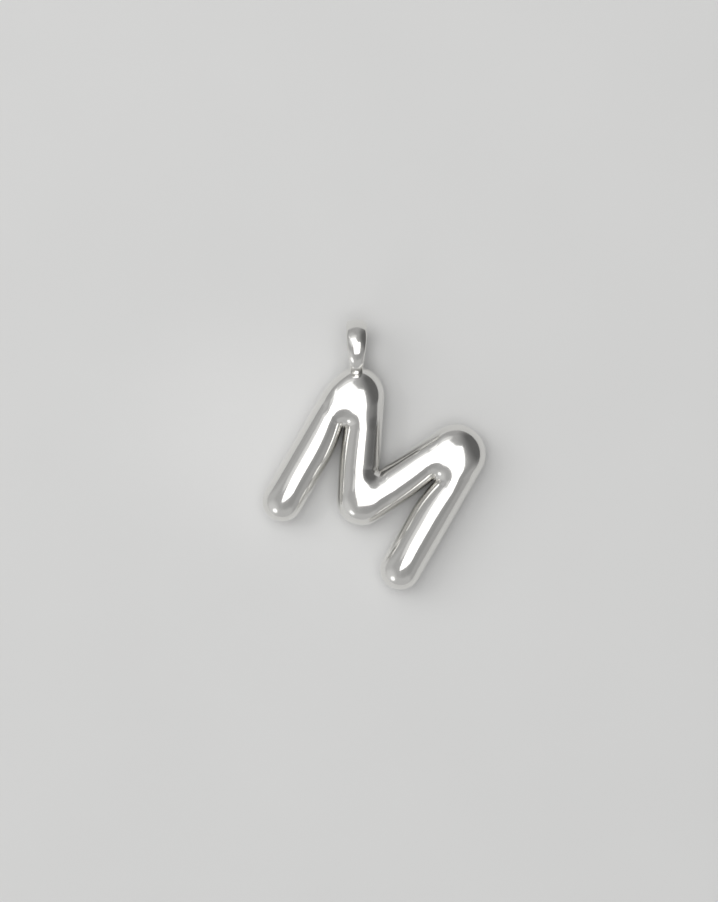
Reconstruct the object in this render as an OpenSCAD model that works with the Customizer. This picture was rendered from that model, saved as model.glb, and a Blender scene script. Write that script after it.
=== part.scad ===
// Inflated letter pendant: a letter M of one round stroke, with a tapered ring bail
// soldered to the edge of its left peak. It lies on its back, and the bail's bore is
// the origin: the chain runs along X, the pendant hangs towards -Y, and +Z is its front.

/* [Letter] */
// Width of the letter over its two legs
letter_w = 17.7; // [17:0.1:18.5]
// Height of the letter from its feet to its peaks
letter_h = 17.75; // [17.5:0.05:18.5]
// Diameter of the round stroke
stroke_d = 4.08; // [3.9:0.02:4.2]
// How far the peaks and the V swell past the stroke, front and back
swell = 0.24; // [0.2:0.01:0.26]
// Radius of those domes
swell_r = 4.5; // [4.2:0.1:4.8]
// Outside radius of the two peaks
peak_r = 3; // [2.9:0.05:3.2]
// Outside radius under the V
vee_r = 2.58; // [2.4:0.02:2.8]
// Height of the V's underside above the feet
vee_rise = 3.58; // [3.4:0.02:3.8]
// Depth from the top of the letter to the bottom of the crease between leg and diagonal
crease_drop = 6.45; // [6.2:0.05:6.7]
// How far the crease's bottom leans from the leg's inner edge into the leg
crease_lean = 0.43; // [0.3:0.01:0.5]
// Depth from the top of the letter to the crotch of the V
vee_drop = 8.18; // [8:0.01:8.3]
// Radius at the bottom of each crotch
crotch_r = 0.06; // [0.04:0.01:0.1]

/* [Bail] */
// Outside diameter of the ring
bail_d = 5.7; // [5.6:0.1:6]
// Diameter of the bore that the chain passes through
bore_d = 3.8; // [3.4:0.1:3.9]
// Wall of the ring at its top
bail_wall = 0.8; // [0.75:0.05:0.95]
// Width of the ring at its top
bail_w = 2.1; // [1.8:0.05:2.3]
// Width of the ring where it meets the letter
foot_w = 1.25; // [1:0.05:1.4]
// Crown radius across the ring's outside
crown_r = 2.2; // [1.8:0.1:2.4]
// Angle from the letter's height to the bail
bail_tilt = 30; // [25:1:35]
// Sideways shift of the bail from the peak's centre
bail_shift = 0.2; // [0:0.05:0.3]
// Gap between the bore and the edge of the peak below it
bore_gap = 0.04; // [0.02:0.01:0.1]

/* [Hidden] */

// Facets of the round parts, and stations along the bail's tapered sides
$fn = 96;
taper_steps = 12;

r = stroke_d / 2;
leg_x = letter_w / 2 - r;
// Centres of the peak's and the V's outside arcs, in the left half of the letter
peak_c = [-(letter_w / 2 - peak_r), letter_h - peak_r];
vee_c = [0, vee_rise + vee_r];

// The diagonal's centre line touches both arcs' inner circles: its lean from the
// letter's height solves span_x cos(lean) - span_y sin(lean) = the sum of their radii
span_x = -peak_c[0];
span_y = peak_c[1] - vee_c[1];
lean = acos((peak_r - r + vee_r - r) / norm([span_x, span_y])) - atan(span_y / span_x);
// Normal and direction of the left diagonal, and its centre line's place along the normal
diag_n = [cos(lean), sin(lean)];
diag_u = [sin(lean), -cos(lean)];
diag_c = diag_n * peak_c + peak_r - r;

// Point of the diagonal's centre line beside a point p
function beside(p) = diag_n * diag_c + diag_u * (diag_u * p);
function flip(p) = [-p[0], p[1]];

// Bottoms of the crease and of the V's crotch, and the reach of the round edge there
crease = [-leg_x + r - crease_lean, letter_h - crease_drop];
crotch = [0, letter_h - vee_drop];
edge_l = r + crotch_r;

// The domes' sides are cut here, below the metal that they rise from
swell_reach = 1.75;

// Places: the ring and the letter rest on one plane
floor_z = -bail_d / 2;
letter_z = floor_z + r + swell;
ring_y = -(bail_d / 2 - bore_d / 2 - bail_wall);
peak_below = peak_r + bore_gap + bore_d / 2;
// How far cutters pass the metal
over = 1;

// Plate of the stroke's thickness over an outline
module web(outline) {
    translate([0, 0, -r]) linear_extrude(stroke_d) polygon(outline);
}

// Round outside of a bend, swept about its centre from angle a through a sector
module bend(centre, rad, a, sector) {
    translate(centre) rotate([0, 0, a])
        rotate_extrude(angle = sector)
            union() {
                translate([0, -r]) square([rad - r, stroke_d]);
                intersection() {
                    translate([rad - r, 0]) circle(r);
                    translate([rad - r, -r]) square([r, stroke_d]);
                }
            }
}

// Cutter that leaves the stroke's round edge about the tip of a crotch
module crotch_cut(tip) {
    translate(tip)
        rotate_extrude()
            difference() {
                translate([0, -r - over]) square([edge_l, stroke_d + 2 * over]);
                translate([edge_l, 0]) circle(r);
            }
}

// Domes of the metal over the wide places, front and back, midway between two points
module domes(p, q) {
    for (side = [0, 1])
        mirror([0, 0, side])
            translate((p + q) / 2)
                intersection() {
                    translate([0, 0, r + swell - swell_r]) sphere(swell_r);
                    cylinder(r = swell_reach, h = stroke_d);
                }
}

module leg() {
    translate([-leg_x, r, 0]) sphere(r);
    translate([-leg_x, r, 0]) rotate([-90, 0, 0]) cylinder(r = r, h = peak_c[1] - r);
}

module diagonal() {
    translate(beside(vee_c)) rotate([0, 0, lean]) rotate([-90, 0, 0])
        cylinder(r = r, h = norm(beside(vee_c) - beside(peak_c)));
}

module peak() {
    bend(peak_c, peak_r, lean, 180 - lean);
    domes(crease, peak_c + peak_r * (peak_c - crease) / norm(peak_c - crease));
    difference() {
        web([[-leg_x, crease[1]], [-leg_x, peak_c[1]], peak_c, beside(peak_c), beside(crease), crease]);
        crotch_cut(crease);
    }
}

module vee() {
    bend(vee_c, vee_r, 180 + lean, 180 - 2 * lean);
    domes(crotch, vee_c - [0, vee_r]);
    difference() {
        web([crotch, beside(crotch), beside(vee_c), vee_c, flip(beside(vee_c)), flip(beside(crotch))]);
        crotch_cut(crotch);
    }
}

module arm() {
    leg();
    peak();
    diagonal();
}

// The letter, laid under the bail: its left peak's arc is centred below the bore
module letter() {
    translate([-bail_shift, -peak_below, letter_z])
        rotate([0, 0, -bail_tilt])
            translate([-peak_c[0], -peak_c[1], 0]) {
                arm();
                mirror([1, 0, 0]) arm();
                vee();
            }
}

// Half width of the bail at height y above the ring's centre
taper_y = [-2.9, 1.3];
function ease(k) = let (c = min(1, max(0, k))) c * c * (3 - 2 * c);
function half_w(y) = (foot_w + (bail_w - foot_w)
    * ease((y - taper_y[0]) / (taper_y[1] - taper_y[0]))) / 2;

module bail_outline() {
    ys = [for (i = [0 : taper_steps]) taper_y[0] + (taper_y[1] - taper_y[0]) * i / taper_steps];
    low = -bail_d / 2 - over;
    high = bail_d / 2 + over;
    right = concat([[half_w(low), low]], [for (y = ys) [half_w(y), y]], [[half_w(high), high]]);
    polygon(concat(right, [for (i = [len(right) - 1 : -1 : 0]) flip(right[i])]));
}

module bail_ring() {
    translate([0, ring_y, 0])
        intersection() {
            rotate([0, 90, 0])
                rotate_extrude()
                    intersection() {
                        translate([bail_d / 2 - crown_r, 0]) circle(r = crown_r);
                        translate([bore_d / 4, -bail_w / 2]) square([bail_d, bail_w]);
                    }
            translate([0, 0, -bail_d / 2 - over]) linear_extrude(bail_d + 2 * over) bail_outline();
        }
}

module pendant() {
    color("silver")
        difference() {
            union() {
                letter();
                bail_ring();
            }
            rotate([0, 90, 0]) cylinder(d = bore_d, h = bail_w + 2 * over, center = true);
        }
}

pendant();
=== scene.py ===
from math import acos, atan, atan2, cos, hypot, pi, radians, sin, sqrt, tan

import bmesh
import bpy
from mathutils import Matrix, Vector


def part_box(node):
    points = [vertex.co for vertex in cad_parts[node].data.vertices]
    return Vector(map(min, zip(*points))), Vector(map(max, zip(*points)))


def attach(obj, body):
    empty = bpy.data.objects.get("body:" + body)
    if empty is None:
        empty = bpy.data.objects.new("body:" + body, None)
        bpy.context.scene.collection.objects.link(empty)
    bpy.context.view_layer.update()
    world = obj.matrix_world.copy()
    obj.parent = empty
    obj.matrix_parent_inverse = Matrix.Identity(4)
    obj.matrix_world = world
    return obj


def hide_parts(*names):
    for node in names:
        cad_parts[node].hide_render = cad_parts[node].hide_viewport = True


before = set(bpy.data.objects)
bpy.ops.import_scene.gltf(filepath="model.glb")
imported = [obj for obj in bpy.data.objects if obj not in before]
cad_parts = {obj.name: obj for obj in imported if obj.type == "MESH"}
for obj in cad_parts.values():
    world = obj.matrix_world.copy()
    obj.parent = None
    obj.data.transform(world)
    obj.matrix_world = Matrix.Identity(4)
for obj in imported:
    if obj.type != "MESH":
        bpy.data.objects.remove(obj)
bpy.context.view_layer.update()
mm = 0.001
near = 0.001 * mm                  # closer than this is the same place

# the pendant lies on its back, so the CAD's lowest point is the table
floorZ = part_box("pendant")[0].z


# helpers

def hexToLinear(code):
    # sRGB hex to the linear values that the shaders take
    values = [int(code[i:i + 2], 16) / 255 for i in (1, 3, 5)]
    return tuple(v / 12.92 if v <= 0.04045 else ((v + 0.055) / 1.055) ** 2.4 for v in values) + (1.0,)


def addNode(tree, kind, settings=None, values=None, links=None):
    # one node with its settings, its input values and the sockets that feed it
    node = tree.nodes.new(kind)
    for name, value in (settings or {}).items():
        setattr(node, name, value)
    for name, value in (values or {}).items():
        node.inputs[name].default_value = value
    for name, source in (links or {}).items():
        tree.links.new(source, node.inputs[name])
    return node


def mixColours(tree, share, first, second):
    # fades from the first colour to the second, each of them a hex code or a socket
    mix = addNode(tree, "ShaderNodeMix", {"data_type": "RGBA"}, None, {"Factor": share})
    inA, inB, out = 6, 7, 2        # a mix node's colour sockets, which share their names
    for socket, colour in ((inA, first), (inB, second)):
        if isinstance(colour, str):
            mix.inputs[socket].default_value = hexToLinear(colour)
        else:
            tree.links.new(colour, mix.inputs[socket])
    return mix.outputs[out]


def addObject(name, data):
    item = bpy.data.objects.new(name, data)
    bpy.context.collection.objects.link(item)
    return item


def startPiece(name):
    # an empty mesh in edit mode, with nothing else selected
    bpy.ops.object.select_all(action="DESELECT")
    piece = addObject(name, bpy.data.meshes.new(name))
    piece.select_set(True)
    bpy.context.view_layer.objects.active = piece
    bpy.ops.object.mode_set(mode="EDIT")
    bpy.ops.mesh.select_mode(type="VERT")
    return piece


def pick(piece, wanted):
    # selects the vertices for which wanted(vertex) holds, and nothing else
    mesh = bmesh.from_edit_mesh(piece.data)
    mesh.verts.ensure_lookup_table()
    for face in mesh.faces:
        face.select = False
    for edge in mesh.edges:
        edge.select = False
    for vert in mesh.verts:
        vert.select = wanted(vert)
    mesh.select_flush(True)
    bmesh.update_edit_mesh(piece.data, loop_triangles=False, destructive=False)


def applyModifiers(piece):
    for modifier in list(piece.modifiers):
        bpy.ops.object.modifier_apply(modifier=modifier.name)


# letter: one round stroke that swells where strokes meet

letter = {
    "width": 17.7 * mm, "height": 17.75 * mm,
    "strokeR": 2.04 * mm,          # half the round stroke
    "peakR": 3 * mm, "veeR": 2.58 * mm, "veeRise": 3.58 * mm,
    # the left peak is worn flatter beside the bail: a tighter arc past its top, then a slack one
    "easeR": 2.4 * mm, "easeFrom": radians(92), "shoulderR": 7.5 * mm,
    # its edge is fuller there, by this share at most, round this direction from the crease
    "fuller": 0.27, "fullAt": radians(143), "fullReach": radians(38),
    "creaseTip": (-5.2 * mm, 11.3 * mm),
    "crotchTip": (0, 9.57 * mm),
    "tipR": 0.06 * mm,
    "pinchLength": 3.85 * mm,      # the inner edges close up over this length
    "footLength": 5.4 * mm,        # the ridge runs down to the foot's end over this length
    "footPower": 3.5,              # slowly at first, then round
    "domeTilt": radians(25),       # slope at which the round edge turns into the dome
    "domeEase": 0.3 * mm,          # the dome begins this much before the stroke grows wide
    "sides": 72,                   # round the stroke
    "fanRibs": 60, "veeRibs": 24, "footRibs": 24, "legRibs": 4, "pinchRibs": 12,
    "evenSlants": 10, "evenDomes": 5,   # neighbours over which slants and domes even out
    "turn": radians(-30),          # it hangs crooked beside the bail
    "peakAt": (-0.2 * mm, -4.94 * mm),
}

strokeR = letter["strokeR"]
legX = letter["width"] / 2 - strokeR
peakCentre = Vector((-(letter["width"] / 2 - letter["peakR"]), letter["height"] - letter["peakR"]))
veeCentre = Vector((0, letter["veeRise"] + letter["veeR"]))
creaseTip = Vector(letter["creaseTip"])
crotchTip = Vector(letter["crotchTip"])

# lean of the diagonals, whose middle line touches the inner circles of both bends
bendSum = letter["peakR"] + letter["veeR"] - 2 * strokeR
spanX, spanY = -peakCentre.x, peakCentre.y - veeCentre.y
lean = acos(bendSum / hypot(spanX, spanY)) - atan(spanY / spanX)
across = Vector((cos(lean), sin(lean)))
along = Vector((sin(lean), -cos(lean)))
middle = across.dot(peakCentre) + letter["peakR"] - strokeR


def toLine(start, way, normal, offset):
    # how far along way a ray from start meets a straight edge
    slope = normal.dot(way)
    return (offset - normal.dot(start)) / slope if slope else -1


def toCircle(start, way, centre, radius):
    gap = centre - start
    reach = way.dot(gap)
    return reach + sqrt(max(reach * reach - gap.dot(gap) + radius * radius, 0))


# the arcs round each peak, from the diagonal over the top: centre, radius, last angle
plainArcs = [(peakCentre, letter["peakR"], pi)]
easeCentre = peakCentre + (letter["peakR"] - letter["easeR"]) \
    * Vector((cos(letter["easeFrom"]), sin(letter["easeFrom"])))
shoulderFrom = acos((letter["shoulderR"] - letter["width"] / 2 - easeCentre.x)
                    / (letter["easeR"] - letter["shoulderR"]))
shoulderCentre = easeCentre + (letter["easeR"] - letter["shoulderR"]) \
    * Vector((cos(shoulderFrom), sin(shoulderFrom)))
flatArcs = [(peakCentre, letter["peakR"], letter["easeFrom"]),
            (easeCentre, letter["easeR"], shoulderFrom),
            (shoulderCentre, letter["shoulderR"], pi)]


def peakReach(way, arcs):
    # from the crease to the outside of the peak, and how aslant the ray meets it:
    # the leg, the diagonal or the round top
    leg = toLine(creaseTip, way, Vector((-1, 0)), letter["width"] / 2)
    if leg > 0 and (creaseTip + way * leg).y < arcs[-1][0].y:
        return leg, -1 / way.x
    side = toLine(creaseTip, way, across, middle + strokeR)
    if side > 0 and along.dot(creaseTip + way * side) > along.dot(peakCentre):
        return side, 1 / way.dot(across)
    for centre, radius, last in arcs:
        reach = toCircle(creaseTip, way, centre, radius)
        spot = creaseTip + way * reach - centre
        if atan2(spot.y, spot.x) % (2 * pi) <= last:
            break
    return reach, radius / way.dot(spot)


def veeReach(way):
    side = toLine(crotchTip, way, -across, strokeR - middle)
    if side > 0 and along.dot(crotchTip + way * side) < along.dot(veeCentre):
        return side, -1 / way.dot(across)
    reach = toCircle(crotchTip, way, veeCentre, letter["veeR"])
    return reach, letter["veeR"] / way.dot(crotchTip + way * reach - veeCentre)


def evenOut(values, most):
    # every value becomes the mean of its neighbours, twice over, with fewer of them near the ends
    last = len(values) - 1
    spans = [min(most, i, last - i) for i in range(last + 1)]
    for again in range(2):
        values = [sum(values[i - s:i + s + 1]) / (2 * s + 1) for i, s in enumerate(spans)]
    return values


def letterRibs(arcs):
    # pairs of outline points of the left half, from its foot to the middle of the V, and how
    # much the round edge stretches at each, where the rib meets the outline aslant
    ribs = []
    for i in range(1, letter["footRibs"] + 1):
        up = letter["footLength"] * (1 - cos(pi / 2 * i / letter["footRibs"]))
        half = sqrt(max(strokeR ** 2 - max(strokeR - up, 0) ** 2, 0))
        ribs.append((Vector((-legX - half, up)), Vector((-legX + half, up)), 1, 1))
    pinchFrom = creaseTip.y - letter["pinchLength"]
    for i in range(1, letter["legRibs"]):
        up = letter["footLength"] + (pinchFrom - letter["footLength"]) * i / letter["legRibs"]
        ribs.append((Vector((-legX - strokeR, up)), Vector((-legX + strokeR, up)), 1, 1))
    pinch = legX - strokeR + creaseTip.x - letter["tipR"]      # below zero: towards the leg
    for i in range(letter["pinchRibs"]):
        k = i / letter["pinchRibs"]
        up = pinchFrom + letter["pinchLength"] * k
        ribs.append((Vector((-legX - strokeR, up)), Vector((-legX + strokeR + pinch * k * k, up)), 1, 1))
    turns = [pi - (pi - lean) * i / letter["fanRibs"] for i in range(letter["fanRibs"] + 1)]
    ways = [Vector((cos(turn), sin(turn))) for turn in turns]
    reaches, slants = zip(*[peakReach(way, arcs) for way in ways])
    for turn, way, reach, slant in zip(turns, ways, reaches, evenOut(slants, letter["evenSlants"])):
        if arcs is flatArcs:
            off = min(1, abs(turn - letter["fullAt"]) / letter["fullReach"])
            slant *= 1 - letter["fuller"] * cos(pi / 2 * off) ** 2
        ribs.append((creaseTip + way * reach, creaseTip + way * letter["tipR"], slant, 1))
    tipAlong = along.dot(creaseTip)
    crotchAlong = along.dot(crotchTip)
    tipIn = across.dot(creaseTip) - middle + strokeR + letter["tipR"]
    for i in range(1, letter["pinchRibs"]):
        k = 1 - i / letter["pinchRibs"]
        foot = along * (tipAlong + (crotchAlong - tipAlong) * (1 - k))
        ribs.append((foot + across * (middle + strokeR),
                     foot + across * (middle - strokeR + tipIn * k * k), 1, 1))
    turns = [pi + lean + (pi / 2 - lean) * i / letter["veeRibs"] for i in range(letter["veeRibs"] + 1)]
    ways = [Vector((cos(turn), sin(turn))) for turn in turns]
    reaches, slants = zip(*[veeReach(way) for way in ways])
    for way, reach, slant in zip(ways, reaches, evenOut(slants, letter["evenSlants"])):
        ribs.append((crotchTip + way * letter["tipR"], crotchTip + way * reach, 1, slant))
    return ribs


def domeLift(first, second, stretchFirst, stretchSecond):
    # how much wider than the stroke a section is, begun softly
    wider = (second - first).length / (stretchFirst + stretchSecond) - strokeR
    ease = letter["domeEase"]
    return wider if wider > ease else max(wider + ease, 0) ** 2 / (4 * ease)


def addSection(piece, first, second, stretchFirst, stretchSecond, lift):
    # one section: a circle across the stroke, opened into a low dome where the stroke is wide
    way = (second - first).normalized()
    half = (second - first).length / (stretchFirst + stretchSecond)
    centre2d = first + way * half * stretchFirst
    wider = half - strokeR
    centre = Vector((centre2d.x, centre2d.y, 0))
    bpy.ops.mesh.select_all(action="DESELECT")
    bpy.ops.mesh.primitive_circle_add(vertices=letter["sides"], radius=strokeR, location=centre,
                                      rotation=(pi / 2, 0, -Vector((1, 0)).angle_signed(way)))
    mesh = bmesh.from_edit_mesh(piece.data)
    mesh.verts.ensure_lookup_table()
    ring = set(range(len(mesh.verts) - letter["sides"], len(mesh.verts)))
    tilt = letter["domeTilt"]
    side = strokeR * sin(tilt)
    rise = 1 + lift / side
    grow = 1 + max(wider, 0) / side
    place = {i: mesh.verts[i].co.copy() for i in ring}
    reach = {i: (place[i].xy - centre2d).dot(way) for i in ring}
    for sign in (1, -1):
        chord = centre + Vector((0, 0, sign * strokeR * cos(tilt)))
        pick(piece, lambda v: v.index in ring and abs(reach[v.index]) < side + near
             and place[v.index].z * sign > 0)
        bpy.ops.transform.resize(value=(grow, grow, rise), center_override=chord)
        if wider > 0:
            pick(piece, lambda v: v.index in ring and reach[v.index] * sign > side + near)
            bpy.ops.transform.translate(value=(way * sign * wider).to_3d())
    if wider <= 0:
        # the stroke narrows beside the crease, and the ridge runs down at the foot
        flat = half / strokeR
        low = 1
        if centre2d.y < letter["footLength"]:
            low = sqrt(1 - (1 - centre2d.y / letter["footLength"]) ** letter["footPower"])
        pick(piece, lambda v: v.index in ring)
        bpy.ops.transform.resize(value=(flat, flat, low), center_override=centre)
    for sign, stretch in ((-1, stretchFirst), (1, stretchSecond)):
        if stretch != 1:
            pick(piece, lambda v: v.index in ring and reach[v.index] * sign > near)
            bpy.ops.transform.resize(value=(stretch, stretch, 1), center_override=centre)
    return ring


def makeLetter():
    piece = startPiece("letter")
    ribs = letterRibs(flatArcs)
    for first, second, *stretches in reversed(letterRibs(plainArcs)[:-1]):
        ribs.append((Vector((-first.x, first.y)), Vector((-second.x, second.y)), *stretches))
    lifts = evenOut([domeLift(*rib) for rib in ribs], letter["evenDomes"])
    rings = [addSection(piece, *rib, lift) for rib, lift in zip(ribs, lifts)]
    # skin the sections one pair after the other
    for one, two in zip(rings, rings[1:]):
        both = one | two
        pick(piece, lambda v: v.index in both)
        bpy.ops.mesh.bridge_edge_loops()
    # close each foot with a pole at its very end
    for ring, footX in ((rings[0], -legX), (rings[-1], legX)):
        pick(piece, lambda v: v.index in ring)
        bpy.ops.mesh.edge_face_add()
        bpy.ops.mesh.poke()
        pick(piece, lambda v: hypot(v.co.x - footX, v.co.z) < near / 10)
        bpy.ops.transform.translate(
            value=(0, -letter["footLength"] * (1 - cos(pi / 2 / letter["footRibs"])), 0))
    bpy.ops.object.mode_set(mode="OBJECT")
    smooth = piece.modifiers.new("smooth", "SUBSURF")
    smooth.levels = smooth.render_levels = 1
    applyModifiers(piece)
    # recalculate the outside, then lay the letter in its place
    bpy.ops.object.mode_set(mode="EDIT")
    bpy.ops.mesh.select_all(action="SELECT")
    bpy.ops.mesh.normals_make_consistent(inside=False)
    thickest = max(v.co.z for v in bmesh.from_edit_mesh(piece.data).verts)
    bpy.ops.object.mode_set(mode="OBJECT")
    place = Matrix.Translation((letter["peakAt"][0], letter["peakAt"][1], floorZ + thickest)) \
        @ Matrix.Rotation(letter["turn"], 4, "Z") @ Matrix.Translation((-peakCentre.x, -peakCentre.y, 0))
    piece.data.transform(place)
    bpy.ops.object.shade_smooth()
    print("letter:", len(piece.data.polygons), "faces")
    return piece


# bail: a tapered ring with a crowned outside

bail = {
    "ringR": 2.85 * mm, "boreR": 1.9 * mm,
    "drop": 0.15 * mm,             # the ring's centre lies this far below the bore's
    "topWidth": 2.1 * mm, "footWidth": 1.25 * mm,
    "taper": (-2.9 * mm, 1.3 * mm),  # heights over which the width changes
    "crownR": 2.2 * mm,
    "edge": 0.3 * mm,              # rounding of the edges that turn more than edgeAngle
    "edgeAngle": radians(28), "edgeSteps": 4,
    "sides": 64, "steps": 96,      # round the crown, and round the ring
}


def makeBail():
    piece = startPiece("bail")
    # D section at the top of the ring: a disc cut flat at the bore and at both sides
    half = bail["topWidth"] / 2
    bpy.ops.mesh.primitive_circle_add(vertices=bail["sides"], radius=bail["crownR"], fill_type="NGON",
                                      location=(0, bail["ringR"] - bail["crownR"], 0))
    for spot, normal in (((0, bail["boreR"], 0), (0, 1, 0)),
                         ((half, 0, 0), (-1, 0, 0)), ((-half, 0, 0), (1, 0, 0))):
        bpy.ops.mesh.select_all(action="SELECT")
        bpy.ops.mesh.bisect(plane_co=spot, plane_no=normal, clear_inner=True)
    bpy.ops.mesh.select_all(action="SELECT")
    bpy.ops.mesh.delete(type="ONLY_FACE")
    bpy.ops.mesh.select_all(action="SELECT")
    bpy.ops.mesh.spin(steps=bail["steps"], angle=2 * pi, center=(0, 0, 0), axis=(1, 0, 0))
    bpy.ops.mesh.select_all(action="SELECT")
    bpy.ops.mesh.normals_make_consistent(inside=False)
    # the outside drops below the bore, so the wall is thicker at the foot
    pick(piece, lambda v: hypot(v.co.y, v.co.z) > bail["boreR"] + 10 * near)
    bpy.ops.transform.translate(value=(0, -bail["drop"], 0))
    # taper: all that lies at one height, to a tenth of near, narrows by the same share
    low, high = bail["taper"]
    narrowest = bail["footWidth"] / bail["topWidth"]
    heights = sorted({round(v.co.y / near, 1) for v in bmesh.from_edit_mesh(piece.data).verts})
    for height in heights:
        k = min(1, max(0, (height * near + bail["drop"] - low) / (high - low)))
        k = k * k * (3 - 2 * k)
        share = narrowest + (1 - narrowest) * k
        if share < 1:
            pick(piece, lambda v: abs(v.co.y / near - height) < 0.06)
            bpy.ops.transform.resize(value=(share, 1, 1), center_override=(0, 0, 0))
    bpy.ops.object.mode_set(mode="OBJECT")
    bevel = piece.modifiers.new("edges", "BEVEL")
    bevel.width = bail["edge"]
    bevel.segments = bail["edgeSteps"]
    bevel.limit_method = "ANGLE"
    bevel.angle_limit = bail["edgeAngle"]
    smooth = piece.modifiers.new("smooth", "SUBSURF")
    smooth.levels = smooth.render_levels = 1
    applyModifiers(piece)
    bpy.ops.object.shade_smooth()
    print("bail:", len(piece.data.polygons), "faces")
    return piece


# silver

polish = {
    "silver": "#F3F2EF",           # sterling silver, a trace warm
    "shade": "#EAE9E6",
    "roughness": (0.11, 0.15),     # mirror polish, a little hazed
    "hazeSize": 2.5,               # mm
    "waveSize": 1.6, "waveDepth": 0.0015,   # mm, the buffing wheel's soft waves
}


def polishedSilver():
    # cast sterling silver, mirror polished on a wheel: bright, with a faint haze that softens
    # the reflections' edges, and soft waves that keep them from being ruled lines
    material = bpy.data.materials.new("polishedSterlingSilver")
    material.use_nodes = True
    tree = material.node_tree
    shader = tree.nodes["Principled BSDF"]
    shader.inputs["Metallic"].default_value = 1.0
    place = addNode(tree, "ShaderNodeTexCoord").outputs["Object"]
    haze = addNode(tree, "ShaderNodeTexNoise", None,
                   {"Scale": 1 / (polish["hazeSize"] * mm), "Detail": 3.0}, {"Vector": place})
    colour = mixColours(tree, haze.outputs["Fac"], polish["silver"], polish["shade"])
    tree.links.new(colour, shader.inputs["Base Color"])
    rough = addNode(tree, "ShaderNodeMapRange", None,
                    {"To Min": polish["roughness"][0], "To Max": polish["roughness"][1]},
                    {"Value": haze.outputs["Fac"]})
    tree.links.new(rough.outputs["Result"], shader.inputs["Roughness"])
    wave = addNode(tree, "ShaderNodeTexNoise", None,
                   {"Scale": 1 / (polish["waveSize"] * mm), "Detail": 0.0}, {"Vector": place})
    bump = addNode(tree, "ShaderNodeBump", None, {"Strength": 1.0, "Distance": polish["waveDepth"] * mm},
                   {"Height": wave.outputs["Fac"]})
    tree.links.new(bump.outputs["Normal"], shader.inputs["Normal"])
    return material


# floor and light

table = {
    "size": 4.0,                   # m, far past what the silver shows of it
    "colour": "#DEDEDD", "shade": "#DADAD9", "cloudSize": 18,   # mm
    "roughness": 0.6,
}


def matteTable():
    # board sprayed with matte white lacquer: a plain soft white whose tone drifts a little
    material = bpy.data.materials.new("matteWhiteBoard")
    material.use_nodes = True
    tree = material.node_tree
    shader = tree.nodes["Principled BSDF"]
    shader.inputs["Roughness"].default_value = table["roughness"]
    place = addNode(tree, "ShaderNodeTexCoord").outputs["Object"]
    cloud = addNode(tree, "ShaderNodeTexNoise", None,
                    {"Scale": 1 / (table["cloudSize"] * mm), "Detail": 2.0}, {"Vector": place})
    colour = mixColours(tree, cloud.outputs["Fac"], table["colour"], table["shade"])
    tree.links.new(colour, shader.inputs["Base Color"])
    return material


def makeFloor():
    piece = startPiece("floor")
    bpy.ops.mesh.primitive_plane_add(size=table["size"], location=(0, 0, floorZ))
    bpy.ops.object.mode_set(mode="OBJECT")
    piece.data.materials.append(matteTable())


# softboxes are placed by where a mirror lying on the table sees them: at the point x, y for each
# metre of height above it; the rest by azimuth, anticlockwise from the right, and elevation
studio = {
    "height": 0.6,                 # m, of the softboxes, which lie level over the table
    "boxes": [
        # name, x, y, width and length per metre of height, turn in degrees, brightness
        ("overheadBox", 0.045, -0.055, 0.77, 0.87, 4, 1.5),
        ("overheadBoxUpper", -0.135, 0.31, 0.58, 0.66, 33, 1.1),
        ("overheadBoxTop", -0.40, 0.69, 0.66, 0.36, 4, 0.9),
        ("stripBox", -0.93, 1.00, 0.07, 0.74, 34, 1.1),
        ("bounceLeft", -0.62, 0.34, 0.32, 0.62, 33, 0.31),
        ("bounceTop", -0.40, 1.04, 0.80, 0.44, 8, 0.28),
    ],
    "distance": 0.7,               # m, of the lamps from the pendant
    "lamps": [
        # name, azimuth, elevation, angle across in degrees, brightness, seen by the silver
        ("smallLamp", 232, 22, 19, 0.78, True),
        ("windowLight", 160, 42, 40, 1.4, False),
    ],
    # a small spot for the glow on the board to the left of the pendant: where its pool lies,
    # the pool's radius, the lamp's width in metres and its power in watts
    "spot": {"azimuth": 165, "elevation": 50, "x": -8 * mm, "y": -9 * mm, "reach": 9 * mm,
             "size": 0.02, "energy": 3.5},
    "wall": "#B9B9B9",             # the room, as the silver shows it
    "places": [
        # azimuth, elevation, inner and outer angle in degrees, colour
        (0, 90, 44, 58, "#ABABAB"),
        (113, 0, 40, 54, "#A6A6A6"),
        (120, 36, 4, 22, "#C1C1C1"),
        (216, 20, 4, 34, "#D0D0D0"),
        (290, 54, 8, 24, "#A0A0A0"),
        (322, 42, 10, 24, "#999999"),
        (330, 8, 14, 30, "#A8A8A8"),
        (28, 17, 27, 55, "#636363"),
    ],
}


def toward(azimuth, elevation):
    flat = cos(radians(elevation))
    return Vector((flat * cos(radians(azimuth)), flat * sin(radians(azimuth)), sin(radians(elevation))))


def addLamp(name, shape, place, width, length, turn, radiance):
    # an area light at a place above the table; a round one faces the pendant
    lamp = bpy.data.lights.new(name, "AREA")
    lamp.shape = shape
    lamp.size = width
    lamp.size_y = length
    lamp.energy = radiance * pi * width * length * (pi / 4 if shape == "ELLIPSE" else 1)
    box = addObject(name, lamp)
    aim = place if shape == "ELLIPSE" else Vector((0, 0, 1))
    box.matrix_world = Matrix.Translation(place + Vector((0, 0, floorZ))) \
        @ aim.to_track_quat("Z", "Y").to_matrix().to_4x4() @ Matrix.Rotation(radians(turn), 4, "Z")
    box.visible_camera = False
    return box


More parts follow.
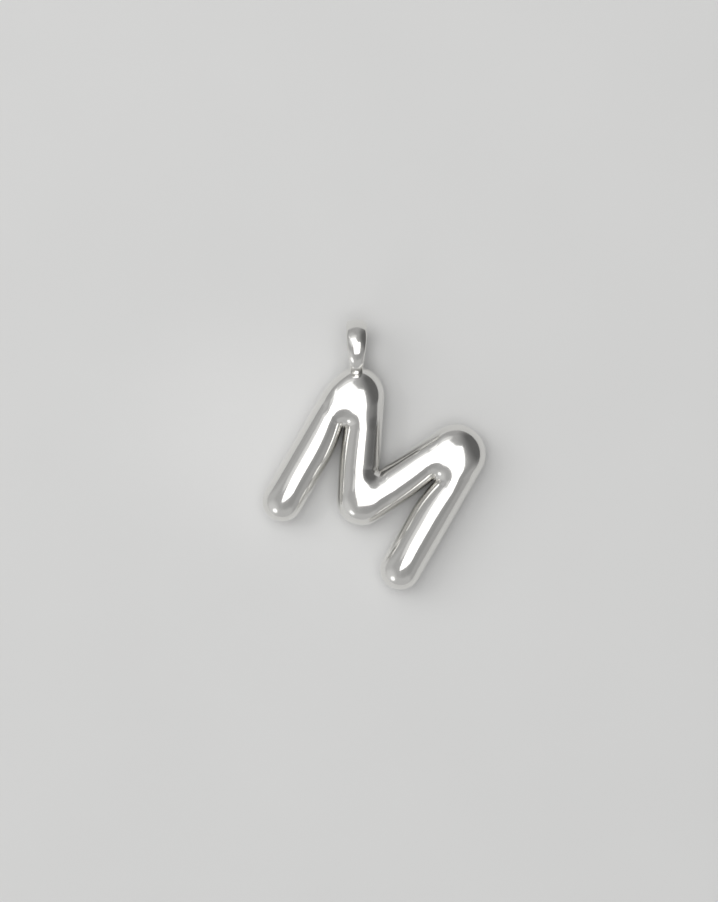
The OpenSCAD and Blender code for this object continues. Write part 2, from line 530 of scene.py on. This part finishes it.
def makeLights():
    up = studio["height"]
    for name, x, y, width, length, turn, radiance in studio["boxes"]:
        addLamp(name, "RECTANGLE", Vector((x, y, 1)) * up, width * up, length * up, turn, radiance)
    away = studio["distance"]
    for name, azimuth, elevation, angle, radiance, seen in studio["lamps"]:
        size = 2 * away * tan(radians(angle) / 2)
        lamp = addLamp(name, "ELLIPSE", toward(azimuth, elevation) * away, size, size, 0, radiance)
        lamp.visible_glossy = seen
    makeSpot()
    makeRoom()


def makeSpot():
    spot = studio["spot"]
    away = studio["distance"]
    way = toward(spot["azimuth"], spot["elevation"])
    lamp = bpy.data.lights.new("softSpot", "SPOT")
    lamp.energy = spot["energy"]
    lamp.shadow_soft_size = spot["size"] / 2
    lamp.spot_size = 2 * atan(spot["reach"] / away)
    lamp.spot_blend = 1
    light = addObject("softSpot", lamp)
    light.matrix_world = Matrix.Translation(Vector((spot["x"], spot["y"], floorZ)) + way * away) \
        @ way.to_track_quat("Z", "Y").to_matrix().to_4x4()
    light.visible_glossy = False


def makeRoom():
    # the room round the pendant: pale walls with lighter and darker places
    world = bpy.data.worlds.new("studio")
    world.use_nodes = True
    bpy.context.scene.world = world
    tree = world.node_tree
    background = tree.nodes["Background"]
    way = addNode(tree, "ShaderNodeTexCoord").outputs["Generated"]
    colour = studio["wall"]
    for azimuth, elevation, inner, outer, code in studio["places"]:
        facing = addNode(tree, "ShaderNodeVectorMath", {"operation": "DOT_PRODUCT"},
                         {1: toward(azimuth, elevation)}, {0: way})
        fade = addNode(tree, "ShaderNodeMapRange", {"interpolation_type": "SMOOTHSTEP"},
                       {"From Min": cos(radians(outer)), "From Max": cos(radians(inner))},
                       {"Value": facing.outputs["Value"]})
        colour = mixColours(tree, fade.outputs["Result"], colour, code)
    tree.links.new(colour, background.inputs["Color"])


# the photograph was taken from straight above; one millimetre is ten of its pixels
view = {
    "centre": (0.24 * mm, -10.45 * mm),
    "height": 90.2 * mm,           # of the frame, whose scale is true in the plane through the stroke
    "plane": 2.3 * mm,             # height of that plane above the table
    "distance": 450 * mm,          # of the camera from it
    "sensor": 36,                  # mm, the camera's own
    "nearest": 10 * mm,            # nothing closer to the camera is seen
}


def makeCamera():
    data = bpy.data.cameras.new("camera")
    data.sensor_width = view["sensor"]
    data.lens = view["sensor"] * view["distance"] / view["height"]
    data.clip_start = view["nearest"]
    camera = addObject("camera", data)
    camera.location = (*view["centre"], floorZ + view["plane"] + view["distance"])
    bpy.context.scene.camera = camera
    bpy.context.scene.view_settings.view_transform = "Standard"


silver = polishedSilver()
letterPiece = makeLetter()
bailPiece = makeBail()
for piece in (letterPiece, bailPiece):
    piece.data.materials.append(silver)
    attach(piece, "root")
    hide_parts("pendant")
makeFloor()
makeLights()
makeCamera()
print("scene ready")
